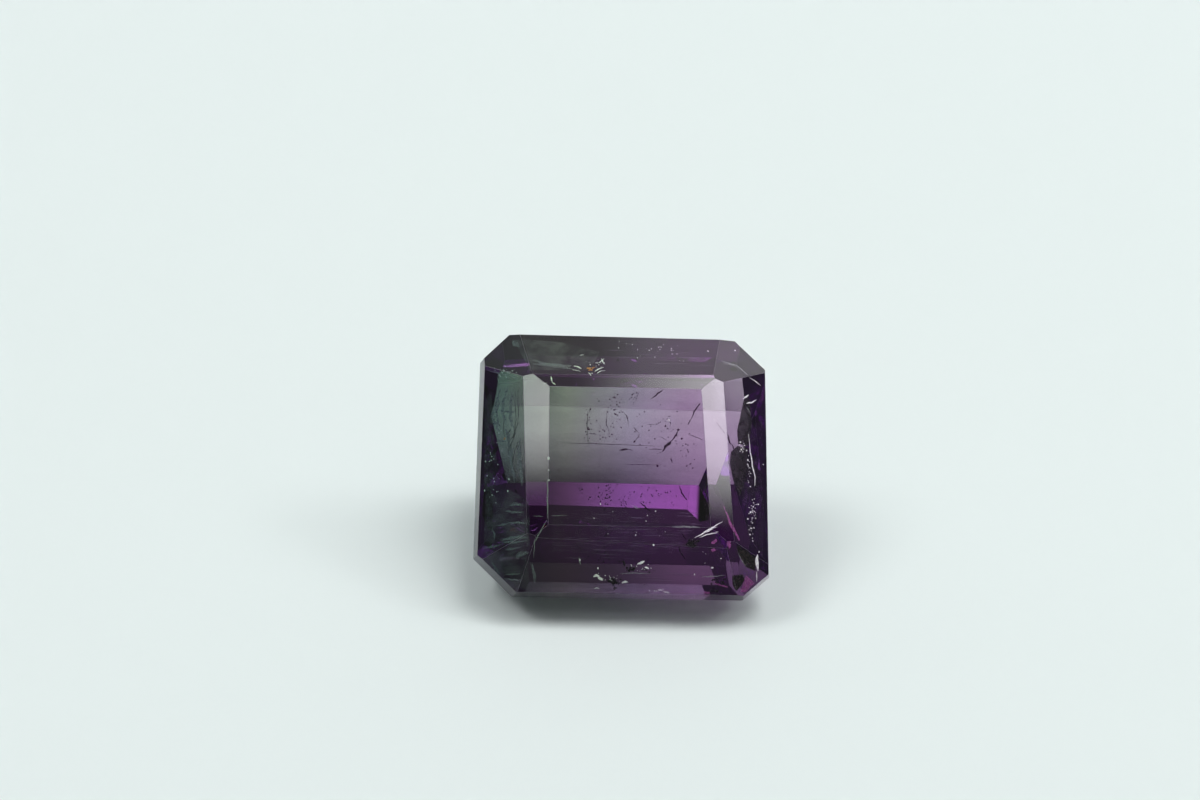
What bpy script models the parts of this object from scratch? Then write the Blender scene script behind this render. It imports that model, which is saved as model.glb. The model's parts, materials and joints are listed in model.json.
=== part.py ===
"""Bicolor tourmaline: one loose gemstone in an octagonal step cut, lying on a facet of its keel.

The stone is cut the way a gem cutter does it: a blank, and one plane for each facet.
All of that happens in the cutter's frame, in millimetres: +X along the stone's length,
+Z out of the table, and height 0 at the crown's lower edge, on top of the girdle.
The finished stone is then set down on its front keel facet, with the table leaning to -Y.
"""
import math

import bmesh
import bpy
from mathutils import Matrix, Vector

MM = 0.001

# The blank, before any facet is cut
BLANK_SIDE = 16.0

# Heights of the levels at which each tier's reaches are measured
TABLE_HEIGHT = 1.11
STEP_HEIGHT = 0.87
GIRDLE_LOW = -1.1
MIDDLE_HEIGHT = -3.96
KEEL_HEIGHT = -6.34

# Each facet is (azimuth of its outward side, tilt from the table's plane, reach).
# Azimuths run anticlockwise from +X, seen from above the table, in degrees.
# The reach is how far from the centre line the facet passes at its tier's level.
# The stone was cut by hand to keep its weight, so no two sides are quite alike.
CROWN_STEP = {
    "right": (3.8, 14.2, 3.39),
    "back": (90.0, 17.0, 3.07),
    "left": (180.0, 14.0, 3.10),
    "front": (270.0, 17.0, 2.76),
}
CROWN_MAIN = {
    "right": (3.8, 28.5, 4.34),
    "back_right": (48.5, 30.5, 5.31),
    "back": (90.35, 27.4, 3.78),
    "back_left": (129.5, 29.0, 5.34),
    "left": (181.0, 27.5, 4.06),
    "front_left": (226.0, 26.2, 5.03),
    "front": (269.25, 24.9, 3.50),
    "front_right": (311.5, 26.2, 5.48),
}
GIRDLE_BAND = {
    "right": (0.9, 84.0, 5.99),
    "back_right": (46.0, 86.0, 7.17),
    "back": (89.5, 88.0, 5.50),
    "back_left": (134.5, 84.0, 7.26),
    "left": (178.75, 80.0, 5.845),
    "front_left": (226.0, 84.0, 6.88),
    "front": (270.0, 90.0, 5.37),
    "front_right": (311.5, 88.0, 7.35),
}
PAVILION_BREAK = {
    "right": (0.9, 65.0, 6.07),
    "back_right": (46.0, 70.0, 7.25),
    "back": (89.5, 53.0, 5.47),
    "back_left": (134.5, 70.0, 7.34),
    "left": (178.75, 67.0, 5.965),
    "front_left": (226.0, 70.0, 6.96),
    "front": (270.0, 53.0, 5.37),
    "front_right": (311.5, 70.0, 7.35),
}
PAVILION_MIDDLE = {
    "back_right": (46.0, 52.0, 5.08),
    "back": (89.0, 43.4, 2.90),
    "back_left": (134.0, 53.0, 5.25),
    "front_left": (226.0, 53.0, 5.15),
    "front": (270.0, 44.5, 2.90),
    "front_right": (314.0, 52.0, 5.20),
}
# The back and front facets meet on the centre line and make the keel.
PAVILION_KEEL = {
    "right": (0.0, 62.0, 3.40),
    "back": (89.0, 39.4, 0.0),
    "left": (180.0, 60.0, 3.30),
    "front": (270.0, 39.4, 0.0),
}

# The stone lies on the front keel facet, so the table leans by that facet's tilt.
REST_TILT = PAVILION_KEEL["front"][1]

STONE_COLOUR = (0.30, 0.20, 0.36, 1.0)
STONE_ROUGHNESS = 0.03
STONE_IOR = 1.63


def clear_scene():
    for obj in list(bpy.data.objects):
        bpy.data.objects.remove(obj, do_unlink=True)


def facet_plane(azimuth, tilt, reach, height, side):
    """A point on a facet and its outward normal. side is 1 above the girdle and -1 below."""
    around = math.radians(azimuth)
    lean = math.radians(tilt)
    outward = Vector((math.cos(around), math.sin(around), 0.0))
    point = outward * reach + Vector((0.0, 0.0, height))
    normal = outward * math.sin(lean) + Vector((0.0, 0.0, side * math.cos(lean)))
    return point, normal


def cut_facet(stone, point, normal):
    """Grinds away all that lies beyond the plane, and closes the stone with the new facet."""
    everything = stone.verts[:] + stone.edges[:] + stone.faces[:]
    bmesh.ops.bisect_plane(
        stone, geom=everything, plane_co=point, plane_no=normal, clear_outer=True, dist=1e-6
    )
    rim = [edge for edge in stone.edges if edge.is_boundary]
    bmesh.ops.holes_fill(stone, edges=rim, sides=0)


def cut_tier(stone, tier, height, side):
    for azimuth, tilt, reach in tier.values():
        cut_facet(stone, *facet_plane(azimuth, tilt, reach, height, side))


def cut_stone():
    """The whole stone in the cutter's frame, as a bmesh in millimetres."""
    stone = bmesh.new()
    bmesh.ops.create_cube(stone, size=BLANK_SIDE)
    cut_facet(stone, Vector((0.0, 0.0, TABLE_HEIGHT)), Vector((0.0, 0.0, 1.0)))
    cut_tier(stone, GIRDLE_BAND, 0.0, 1)
    cut_tier(stone, CROWN_MAIN, STEP_HEIGHT, 1)
    cut_tier(stone, CROWN_STEP, TABLE_HEIGHT, 1)
    cut_tier(stone, PAVILION_BREAK, GIRDLE_LOW, -1)
    cut_tier(stone, PAVILION_MIDDLE, MIDDLE_HEIGHT, -1)
    cut_tier(stone, PAVILION_KEEL, KEEL_HEIGHT, -1)
    bmesh.ops.recalc_face_normals(stone, faces=stone.faces)
    return stone


def resting_pose(stone):
    """Turns the cutter's frame, in millimetres, into the resting pose, in metres.

    The origin ends up on the ground, under the middle of the stone's bounding box.
    """
    lean = Matrix.Rotation(math.radians(REST_TILT), 4, "X")
    points = [lean @ vert.co for vert in stone.verts]
    low = Vector([min(point[axis] for point in points) for axis in range(3)])
    high = Vector([max(point[axis] for point in points) for axis in range(3)])
    foot = Vector(((low.x + high.x) / 2, (low.y + high.y) / 2, low.z))
    return Matrix.Scale(MM, 4) @ Matrix.Translation(-foot) @ lean


def stone_material():
    material = bpy.data.materials.new("tourmaline")
    material.use_nodes = True
    shader = material.node_tree.nodes["Principled BSDF"]
    shader.inputs["Base Color"].default_value = STONE_COLOUR
    shader.inputs["Roughness"].default_value = STONE_ROUGHNESS
    shader.inputs["Metallic"].default_value = 0.0
    shader.inputs["IOR"].default_value = STONE_IOR
    shader.inputs["Transmission Weight"].default_value = 1.0
    return material


def build():
    clear_scene()
    stone = cut_stone()
    stone.transform(resting_pose(stone))
    mesh = bpy.data.meshes.new("tourmaline")
    stone.to_mesh(mesh)
    stone.free()
    mesh.materials.append(stone_material())
    obj = bpy.data.objects.new("tourmaline", mesh)
    bpy.context.scene.collection.objects.link(obj)
    return obj


if __name__ == "__main__":
    build()
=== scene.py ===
# %% [markdown]
# # A bicolor tourmaline, cut and polished
# The real object is one clear crystal, cut as an octagonal step cut: blue-grey at one end and violet
# at the other. It lies on a facet of its keel, on a pale sheet, with the table turned to the camera.
# Nearly all that is seen of it is light that has gone in, turned back from the facets underneath and
# come out again. So the order here is: the camera, the pale sheet and the light first, then the
# stone as one clear solid with flat facets, then what the crystal holds: needles, specks, feathers.

# %% The frame
import json
import math
import random

import bpy
from mathutils import Matrix, Quaternion, Vector


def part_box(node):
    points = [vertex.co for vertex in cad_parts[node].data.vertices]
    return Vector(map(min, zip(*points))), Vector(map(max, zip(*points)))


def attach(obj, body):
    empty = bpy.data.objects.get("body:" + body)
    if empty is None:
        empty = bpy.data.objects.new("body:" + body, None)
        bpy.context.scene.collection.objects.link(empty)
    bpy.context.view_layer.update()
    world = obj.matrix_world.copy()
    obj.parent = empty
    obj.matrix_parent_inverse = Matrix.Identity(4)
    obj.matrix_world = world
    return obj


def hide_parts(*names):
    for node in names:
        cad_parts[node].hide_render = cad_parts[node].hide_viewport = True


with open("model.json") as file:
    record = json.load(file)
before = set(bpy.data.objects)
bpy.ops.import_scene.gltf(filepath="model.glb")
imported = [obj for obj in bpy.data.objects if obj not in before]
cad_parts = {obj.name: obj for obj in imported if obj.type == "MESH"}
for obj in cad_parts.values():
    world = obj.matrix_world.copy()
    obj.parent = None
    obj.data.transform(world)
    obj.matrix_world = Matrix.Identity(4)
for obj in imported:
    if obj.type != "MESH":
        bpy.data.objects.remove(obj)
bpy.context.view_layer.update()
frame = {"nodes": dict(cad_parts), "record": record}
MM = 0.001

# %% [markdown]
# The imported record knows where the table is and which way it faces. The stone's own axes follow
# from it: across is the stone's length, up is the slope of the table, and out is the table's
# normal. All that lies in the stone is placed from these, so it would follow if the cut changed.

# %% The stone's own axes
mounts = {mount["name"]: mount for mount in frame["record"]["mounts"]}
table_middle = Vector(mounts["table"]["pos_m"])
table_out = Vector(mounts["table"]["axis"]).normalized()
table_across = Vector((1.0, 0.0, 0.0))
table_up = table_out.cross(table_across).normalized()
stone_low, stone_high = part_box("tourmaline")
lean = math.degrees(table_out.angle(Vector((0.0, 0.0, 1.0))))
print(f"table leans {lean:.1f} degrees, stone is {(stone_high.x - stone_low.x) / MM:.2f} mm long")

# %% [markdown]
# ## Camera
# A gem is photographed from close by with a long lens, so that its parallel edges stay parallel.
# The camera looks down at 38 degrees, a little from the left, and was held a few degrees off level.
# The table's middle isn't at the photograph's middle, so the camera is turned a little off it:
# that keeps the lens free of any shift, and the stone stays in the middle of every other view.

# %% The camera
PHOTO_WIDTH = 1200
PHOTO_HEIGHT = 800
SENSOR_WIDTH = 36.0
LENS = 135.0
CAMERA_AZIMUTH = -4.1
CAMERA_ELEVATION = 38.0
CAMERA_ROLL = 3.55
PIXELS_PER_MM = 24.3
TABLE_SEEN_AT = (627.6, 457.7)

azimuth = math.radians(CAMERA_AZIMUTH)
elevation = math.radians(CAMERA_ELEVATION)
camera_back = Vector((
    math.sin(azimuth) * math.cos(elevation),
    -math.cos(azimuth) * math.cos(elevation),
    math.sin(elevation),
))
focal_pixels = PHOTO_WIDTH * LENS / SENSOR_WIDTH
camera_place = table_middle + camera_back * (focal_pixels / PIXELS_PER_MM * MM)


def pixel_ray(pixel):
    """The direction of a pixel of the photograph, seen from the camera's own axes."""
    right = pixel[0] - PHOTO_WIDTH / 2
    up = PHOTO_HEIGHT / 2 - pixel[1]
    return Vector((right, up, -focal_pixels)).normalized()


level = (-camera_back).to_track_quat("-Z", "Y")
rolled = level @ Quaternion((0.0, 0.0, 1.0), math.radians(CAMERA_ROLL))
camera_turn = rolled @ pixel_ray(TABLE_SEEN_AT).rotation_difference(Vector((0.0, 0.0, -1.0)))

bpy.ops.object.select_all(action="DESELECT")
bpy.ops.object.camera_add(location=camera_place)
camera = bpy.context.object
camera.name = "camera"
camera.rotation_mode = "QUATERNION"
camera.rotation_quaternion = camera_turn
camera.data.lens = LENS
camera.data.sensor_width = SENSOR_WIDTH
camera.data.clip_start = 1.0 * MM
camera.data.clip_end = 20.0
bpy.context.scene.camera = camera
print(f"camera is {(camera_place - table_middle).length * 100:.1f} cm from the table")

# %% [markdown]
# ## Working helpers
# So each piece starts by deselecting everything, and its faces and edges are picked by their place
# in code.

# %% Helpers for modelling
def start_fresh():
    """Leaves edit mode and deselects everything."""
    if bpy.context.object and bpy.context.object.mode != "OBJECT":
        bpy.ops.object.mode_set(mode="OBJECT")
    bpy.ops.object.select_all(action="DESELECT")


def make_active(obj):
    """Selects this object alone."""
    start_fresh()
    obj.select_set(True)
    bpy.context.view_layer.objects.active = obj
    return obj


def edit(obj):
    """Edit mode on this object, with all of it selected."""
    make_active(obj)
    bpy.ops.object.mode_set(mode="EDIT")
    bpy.ops.mesh.select_all(action="SELECT")


def select_edges(obj, wanted):
    """In edit mode: selects the edges whose two ends pass the test, and nothing else."""
    bpy.ops.mesh.select_all(action="DESELECT")
    bpy.ops.mesh.select_mode(type="EDGE")
    bpy.ops.object.mode_set(mode="OBJECT")
    points = [vertex.co for vertex in obj.data.vertices]
    for edge in obj.data.edges:
        edge.select = wanted(points[edge.vertices[0]], points[edge.vertices[1]])
    bpy.ops.object.mode_set(mode="EDIT")


def finish_piece(obj, name):
    """The place of the piece goes into its mesh, and its object stays at the origin."""
    make_active(obj)
    bpy.ops.object.transform_apply(location=True, rotation=True, scale=True)
    obj.name = name
    obj.data.name = name
    print(f"{name}: {len(obj.data.vertices)} vertices, {len(obj.data.polygons)} faces")
    return obj


# %% [markdown]
# A finish is a Principled shader with a few nodes in front of it. These helpers make the material,
# set its plain numbers and add nodes, so that each finish below reads as a short recipe.

# %% Helpers for materials
def new_material(name, **plain):
    """A material with its Principled shader's plain numbers set, such as Roughness=0.5."""
    material = bpy.data.materials.new(name)
    material.use_nodes = True
    shader = material.node_tree.nodes["Principled BSDF"]
    for socket, value in plain.items():
        shader.inputs[socket.replace("_", " ")].default_value = value
    return material, material.node_tree, shader


def give(tree, socket, value):
    """Links another node's output to this socket, or sets the socket's plain value."""
    if isinstance(value, bpy.types.NodeSocket):
        tree.links.new(value, socket)
    else:
        socket.default_value = value


def add_node(tree, kind, **inputs):
    """Adds a node and gives its inputs by name, with spaces written as underscores."""
    node = tree.nodes.new(kind)
    for socket, value in inputs.items():
        give(tree, node.inputs[socket.replace("_", " ")], value)
    return node


def smooth_range(tree, value, start, end, low=0.0, high=1.0):
    """A soft step: low where value is under start, high where it is past end."""
    node = add_node(
        tree, "ShaderNodeMapRange", Value=value, From_Min=start, From_Max=end, To_Min=low, To_Max=high
    )
    node.interpolation_type = "SMOOTHSTEP"
    return node.outputs["Result"]


def even_range(tree, value, start, end, low=0.0, high=1.0):
    """The same step with a straight slope."""
    node = add_node(
        tree, "ShaderNodeMapRange", Value=value, From_Min=start, From_Max=end, To_Min=low, To_Max=high
    )
    return node.outputs["Result"]


def calculate(tree, operation, *values):
    """A sum, product or the like of values, each a socket or a number."""
    node = tree.nodes.new("ShaderNodeMath")
    node.operation = operation
    for socket, value in zip(node.inputs, values):
        give(tree, socket, value)
    return node.outputs["Value"]


def measure_along(tree, place, direction):
    """How far a place lies along a direction."""
    node = tree.nodes.new("ShaderNodeVectorMath")
    node.operation = "DOT_PRODUCT"
    give(tree, node.inputs[0], place)
    give(tree, node.inputs[1], direction)
    return node.outputs["Value"]


def blend(tree, factor, first, second):
    """Goes from the first colour to the second, each a socket or four numbers."""
    node = tree.nodes.new("ShaderNodeMix")
    node.data_type = "RGBA"
    give(tree, node.inputs["Factor"], factor)
    give(tree, node.inputs["A"], first)
    give(tree, node.inputs["B"], second)
    return node.outputs["Result"]


def object_place(tree):
    """The Object coordinates."""
    return tree.nodes.new("ShaderNodeTexCoord").outputs["Object"]


def parts_of(tree, vector):
    """The X, Y and Z of a vector."""
    return add_node(tree, "ShaderNodeSeparateXYZ", Vector=vector).outputs


def fine_noise(tree, place, **inputs):
    """A noise with its numbers set, such as Scale=25.0."""
    return add_node(tree, "ShaderNodeTexNoise", Vector=place, **inputs).outputs["Fac"]


# %% [markdown]
# ## The pale sheet
# A stone like this is laid on a sheet of pale plastic or card that curves up behind it, so that no
# horizon shows. A plane is added, its back edge is spun a quarter turn and then pulled up. The
# sheet lies two hundredths of a millimetre under the stone: the smallest gap of air is enough to
# turn light back inside a resting facet, and without it the whole lower half would go black.

# %% The pale sheet
SHEET_GAP = 0.02 * MM
SHEET_FRONT = 0.5
SHEET_BEND_START = 0.35
SHEET_BEND_RADIUS = 0.25
SHEET_TOP = 0.9
SHEET_HALF_WIDTH = 0.8
SHEET_COLOUR = (0.85, 0.925, 0.912, 1.0)
SHEET_SHADE = 0.985
SHEET_BEND_STEPS = 16
CLOSE_ENOUGH = 0.1 * MM

start_fresh()
sheet_length = SHEET_FRONT + SHEET_BEND_START
sheet_middle = sheet_length / 2 - SHEET_FRONT
bpy.ops.mesh.primitive_plane_add(size=1.0, location=(0.0, sheet_middle, -SHEET_GAP))
sheet = bpy.context.object
sheet.scale = (2 * SHEET_HALF_WIDTH, sheet_length, 1.0)
finish_piece(sheet, "pale_sheet")
edit(sheet)
select_edges(sheet, lambda a, b: min(a.y, b.y) > SHEET_BEND_START - CLOSE_ENOUGH)
bpy.ops.mesh.spin(
    steps=SHEET_BEND_STEPS,
    angle=math.radians(-90.0),
    center=(0.0, SHEET_BEND_START, SHEET_BEND_RADIUS - SHEET_GAP),
    axis=(1.0, 0.0, 0.0),
)
bend_end = SHEET_BEND_START + SHEET_BEND_RADIUS
select_edges(sheet, lambda a, b: min(a.y, b.y) > bend_end - CLOSE_ENOUGH)
rise = (0.0, 0.0, SHEET_TOP - SHEET_BEND_RADIUS)
bpy.ops.mesh.extrude_edges_move(TRANSFORM_OT_translate={"value": rise})
bpy.ops.object.mode_set(mode="OBJECT")
bpy.ops.object.shade_smooth()

sheet_finish, tree, shader = new_material("pale_sheet", Roughness=0.6)
shade = (*[value * SHEET_SHADE for value in SHEET_COLOUR[:3]], 1.0)
cloud = fine_noise(tree, object_place(tree), Scale=25.0, Detail=3.0)
give(tree, shader.inputs["Base Color"], blend(tree, cloud, SHEET_COLOUR, shade))
sheet.data.materials.append(sheet_finish)
print("sheet reaches", [round(value, 2) for value in sheet.dimensions], "m")

# %% [markdown]
# ## Light
# What each facet mirrors is one small patch of the room, so the edges of the lights matter as much
# as their strength. Each light is a plane that glows downwards, faded by smooth steps in its
# material. A large softbox hangs over the stone and to its right. Its left edge fades out where the
# back of the crown turns dark, and its front fades slowly, which keeps the lower half of the stone
# dim. Two small ones in front, one on each side of the camera, put the pale gloss on the left and
# right steps of the crown. Three wide ones at the left, far right and back light the sheet and
# soften the shadow. The last three are small: they give the back of the crown and the strip under
# the front edge their grey, and light the right end of the violet band.

# %% The softboxes
LIGHT_COLOUR = (1.0, 1.0, 1.0, 1.0)
KEY_HEIGHT = 0.60
SIDE_HEIGHT = 0.58

# Each fade is (weights, dark, bright, least): where the weighted sum of right and back is under
# dark, the softbox keeps that least share of its glow, and past bright it has all of it.
KEY_FADES = [
    ((1.0, -0.10), 0.024, 0.074, 0.07),
    ((-0.5, 1.0), -0.43, 0.10, 0.025),
    ((0.0, -1.0), -0.46, -0.38, 0.15),
    ((-1.0, 0.0), -0.95, -0.85, 0.0),
]
LEFT_FADES = [((0.0, 1.0), -0.494, -0.462, 0.0)]
RIGHT_FADES = [((0.0, 1.0), -0.440, -0.412, 0.0)]
CROWN_FADES = [((1.0, 0.0), 0.045, 0.070, 0.50)]
STRIP_FADES = [((1.0, 0.0), 0.050, 0.082, 0.45)]
BAND_FADES = [((-1.0, 0.0), 0.1147, 0.1163, 0.0)]

# name: (height, span to the right, span to the back, glow, fades)
SOFTBOXES = {
    "key_softbox": (KEY_HEIGHT, (0.0, 0.95), (-0.58, 0.46), 6.1, KEY_FADES),
    "left_softbox": (SIDE_HEIGHT, (-0.62, -0.44), (-0.52, -0.38), 3.5, LEFT_FADES),
    "right_softbox": (SIDE_HEIGHT, (0.58, 0.78), (-0.52, -0.32), 5.1, RIGHT_FADES),
    "fill_softbox": (KEY_HEIGHT, (-1.1, -0.42), (-0.12, 0.40), 5.3, []),
    "far_right_softbox": (KEY_HEIGHT, (1.0, 1.4), (0.0, 0.42), 9.5, []),
    "back_softbox": (KEY_HEIGHT, (0.70, 0.92), (0.50, 0.74), 1.8, []),
    "crown_softbox": (KEY_HEIGHT, (-0.10, 0.14), (0.50, 0.584), 1.30, CROWN_FADES),
    "strip_softbox": (KEY_HEIGHT, (-0.10, 0.14), (0.584, 0.66), 0.42, STRIP_FADES),
    "band_softbox": (KEY_HEIGHT, (-0.14, -0.11), (-0.285, -0.25), 1.5, BAND_FADES),
}


def hang_plane(name, height, right, back):
    """A level plane. Its spans are shares of its height, so they are also directions."""
    start_fresh()
    middle = ((right[0] + right[1]) / 2 * height, (back[0] + back[1]) / 2 * height)
    bpy.ops.mesh.primitive_plane_add(size=1.0, location=(*middle, height))
    plane = bpy.context.object
    plane.scale = ((right[1] - right[0]) * height, (back[1] - back[0]) * height, 1.0)
    return finish_piece(plane, name)


def softbox_finish(name, height, glow, fades):
    """Light from the lower side alone, faded towards the edges that the fades name."""
    material = bpy.data.materials.new(name)
    material.use_nodes = True
    tree = material.node_tree
    tree.nodes.clear()
    place = object_place(tree)
    level = glow
    for (to_right, to_back), dark, bright, least in fades:
        reach = measure_along(tree, place, (to_right / height, to_back / height, 0.0))
        level = calculate(tree, "MULTIPLY", level, smooth_range(tree, reach, dark, bright, least, 1.0))
    lower_side = tree.nodes.new("ShaderNodeNewGeometry").outputs["Backfacing"]
    strength = calculate(tree, "MULTIPLY", level, lower_side)
    emission = add_node(tree, "ShaderNodeEmission", Color=LIGHT_COLOUR, Strength=strength)
    add_node(tree, "ShaderNodeOutputMaterial", Surface=emission.outputs["Emission"])
    return material


for name, (height, right, back, glow, fades) in SOFTBOXES.items():
    panel = hang_plane(name, height, right, back)
    panel.data.materials.append(softbox_finish(name, height, glow, fades))

# %% [markdown]
# A small black card hangs just under the large softbox. Without it, one narrow path through the
# stone would reach the light and draw a bright violet line along the back step. A photographer
# shades such a path with a card in the same way.

# %% The black card
CARD_HEIGHT = 0.97 * KEY_HEIGHT
CARD_RIGHT = (-0.02, 0.07)
CARD_BACK = (-0.135, -0.045)
CARD_CORNER = 0.01 * CARD_HEIGHT

card_finish, tree, shader = new_material("black_card", Roughness=0.9)
fuzz = fine_noise(tree, object_place(tree), Scale=400.0)
give(tree, shader.inputs["Base Color"], smooth_range(tree, fuzz, 0.3, 0.7, 0.004, 0.010))
card = hang_plane("step_card", CARD_HEIGHT, CARD_RIGHT, CARD_BACK)
edit(card)
bpy.ops.mesh.bevel(offset=CARD_CORNER, affect="VERTICES", segments=3)
bpy.ops.object.mode_set(mode="OBJECT")
card.data.materials.append(card_finish)

# %% [markdown]
# The rest of the room is a soft gradient: dim in front, where the stone has to stay dark, and
# brighter at the back, which the upper facets of the crown mirror.

# %% The room
ROOM_FRONT = 0.13
ROOM_BACK = 0.68
ROOM_COLOUR = (0.92, 0.98, 1.0, 1.0)

world = bpy.data.worlds.new("room")
bpy.context.scene.world = world
world.use_nodes = True
tree = world.node_tree
direction = tree.nodes.new("ShaderNodeTexCoord").outputs["Generated"]
to_back = parts_of(tree, direction)["Y"]
sky = tree.nodes["Background"]
sky.inputs["Color"].default_value = ROOM_COLOUR
give(tree, sky.inputs["Strength"], smooth_range(tree, to_back, 0.15, 0.5, ROOM_FRONT, ROOM_BACK))

# %% [markdown]
# Light goes round in a faceted stone many times before it comes out, so the renderer is let follow
# more bounces than usual. The plain view transform keeps the pale sheet as pale as it is.

# %% Bounces and view
scene = bpy.context.scene
scene.cycles.max_bounces = 24
scene.cycles.glossy_bounces = 20
scene.cycles.transmission_bounces = 20
scene.cycles.transparent_max_bounces = 24
scene.cycles.use_denoising = True
scene.view_settings.view_transform = "Standard"
print("softbox and room are lit")

# %% [markdown]
# ## The stone
# The solid from the CAD has every facet, but its mesh is loose triangles. A copy is merged, the
# triangles of each facet are dissolved into one flat face, and every edge gets a very fine bevel,
# because the edges of a polished stone are never quite sharp and catch a hair of light. The bevel
# only marks its faces for the second material if the mesh has a second slot, so two empty
# materials hold the slots until the finishes are made.

# %% The stone's facets
EDGE_WEAR = 0.03 * MM
FLAT_ENOUGH = math.radians(0.3)
FACET_SLOT = 0
EDGE_SLOT = 1

start_fresh()
stone = bpy.data.objects.new("stone", frame["nodes"]["tourmaline"].data.copy())
bpy.context.scene.collection.objects.link(stone)
edit(stone)
bpy.ops.mesh.remove_doubles(threshold=MM / 1000)
bpy.ops.mesh.dissolve_limited(angle_limit=FLAT_ENOUGH)
bpy.ops.mesh.select_all(action="SELECT")
bpy.ops.mesh.normals_make_consistent(inside=False)
bpy.ops.object.mode_set(mode="OBJECT")
print("facets:", len(stone.data.polygons))
stone.data.materials.clear()
slot_holders = [bpy.data.materials.new(name) for name in ("facet_slot", "edge_slot")]
for holder in slot_holders:
    stone.data.materials.append(holder)
worn = stone.modifiers.new("worn_edges", "BEVEL")
worn.width = EDGE_WEAR
worn.segments = 1
worn.limit_method = "ANGLE"
worn.angle_limit = math.radians(0.5)
worn.material = EDGE_SLOT
bpy.ops.object.modifier_apply(modifier=worn.name)
bpy.ops.object.shade_flat()
finish_piece(stone, "stone")
print("worn faces:", sum(face.material_index == EDGE_SLOT for face in stone.data.polygons))

# %% [markdown]
# ### Its material
# Tourmaline bends light with an index of 1.63 and swallows green light along the way, which makes
# a long path violet. That is plain absorption in the body of the stone. The two colours of the
# crystal are a ramp along its length on the surface, where each ray passes at least twice. Four
# softer tones go over it, and each is a share of the light that is let through: a painted shade at
# the lower front, where little light comes from, a painted shade at the keel for the shadow on the
# sheet under the stone, which clears towards the violet end, a darker layer deep in the middle of
# the stone, and a fine cloudiness drawn out along the crystal's length.

# %% The stone's colours
TOURMALINE_INDEX = 1.63
ABSORPTION_TINT = (0.55, 0.085, 0.66, 1.0)
ABSORPTION_PER_METRE = 200.0
# Each is (millimetres along the stone, colour)
ZONES = [
    (-6.0, (0.10, 0.25, 0.145)),
    (-4.9, (0.115, 0.30, 0.165)),
    (-2.3, (0.50, 0.85, 0.40)),
    (0.4, (0.71, 0.96, 0.70)),
    (2.7, (0.86, 0.945, 0.78)),
    (6.0, (0.90, 0.95, 0.85)),
]


def colour_zones(tree, along):
    """The ramp of colours along the stone's length."""
    first = ZONES[0][0]
    length = ZONES[-1][0] - first
    share = even_range(tree, along, first * MM, ZONES[-1][0] * MM)
    ramp = add_node(tree, "ShaderNodeValToRGB", Fac=share)
    stops = ramp.color_ramp.elements
    while len(stops) < len(ZONES):
        stops.new(0.5)
    for stop, (where, colour) in zip(stops, ZONES):
        stop.position = (where - first) / length
        stop.color = (*colour, 1.0)
    return ramp.outputs["Color"]


def absorb_in(tree):
    """Plain absorption in the body of the stone."""
    body = add_node(
        tree, "ShaderNodeVolumeAbsorption", Color=ABSORPTION_TINT, Density=ABSORPTION_PER_METRE
    )
    give(tree, tree.nodes["Material Output"].inputs["Volume"], body.outputs["Volume"])


# %% The stone's softer tones
# Distances are in millimetres: down the table's slope from its middle, up from the sheet,
# along the stone from its middle, or under the table
# Painted shade at the lower front: the least share of light it keeps, and its span down the slope
FRONT_PAINTED_SHADE = 0.45
FRONT_SHADE_SPAN = (5.0, 2.6)
# Painted shade at the keel, for the shadow under the stone: the least share of light it keeps, its height
# span and where it clears along the stone
KEEL_PAINTED_SHADE = 0.15
KEEL_SHADE_SPAN = (0.1, 2.4)
KEEL_SHADE_CLEARS = (-1.0, 4.0)
LAYER_TONE = 0.60
LAYER_ENDS = (3.1, 3.9)
LAYER_FLOOR = (5.12, 5.02)
LAYER_ROOF = (2.6, 2.0)
CLOUDS_PER_METRE = 1400.0
CLOUD_TONE = 0.86
# How many times longer the clouds are than high
CLOUD_LENGTH = 4.0


def front_painted_shade(tree, slope):
    """Painted shade: dark at the lower front of the stone, where little light comes from, clear further up
    the slope.
    """
    foot = table_middle.dot(table_up)
    start, end = (foot - distance * MM for distance in FRONT_SHADE_SPAN)
    return smooth_range(tree, slope, start, end, FRONT_PAINTED_SHADE, 1.0)


def keel_painted_shade(tree, along, height):
    """Painted shade: dark at the keel, for the shadow on the sheet under the stone, less so towards the
    violet end.
    """
    start, end = (distance * MM for distance in KEEL_SHADE_CLEARS)
    least = smooth_range(tree, along, start, end, KEEL_PAINTED_SHADE, 1.0)
    return even_range(tree, height, KEEL_SHADE_SPAN[0] * MM, KEEL_SHADE_SPAN[1] * MM, least, 1.0)


def layer_tone(tree, along, out):
    """A darker layer in the middle of the stone, with a sharp floor and a soft roof."""
    level = table_middle.dot(table_out)
    from_middle = calculate(tree, "ABSOLUTE", along)
    tone = smooth_range(tree, from_middle, LAYER_ENDS[0] * MM, LAYER_ENDS[1] * MM, LAYER_TONE, 1.0)
    floor = even_range(
        tree, out, level - LAYER_FLOOR[0] * MM, level - LAYER_FLOOR[1] * MM, 1.0, tone
    )
    roof = smooth_range(tree, out, level - LAYER_ROOF[0] * MM, level - LAYER_ROOF[1] * MM)
    return calculate(tree, "MAXIMUM", floor, roof)


def cloud_tone(tree, along, slope, out):
    """Fine clouds, drawn out along the stone's length."""
    drawn_out = calculate(tree, "MULTIPLY", along, 1.0 / CLOUD_LENGTH)
    place = add_node(tree, "ShaderNodeCombineXYZ", X=drawn_out, Y=slope, Z=out).outputs["Vector"]
    clouds = fine_noise(tree, place, Scale=CLOUDS_PER_METRE, Detail=7.0, Roughness=0.65)
    return smooth_range(tree, clouds, 0.35, 0.65, CLOUD_TONE, 1.0)


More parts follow.
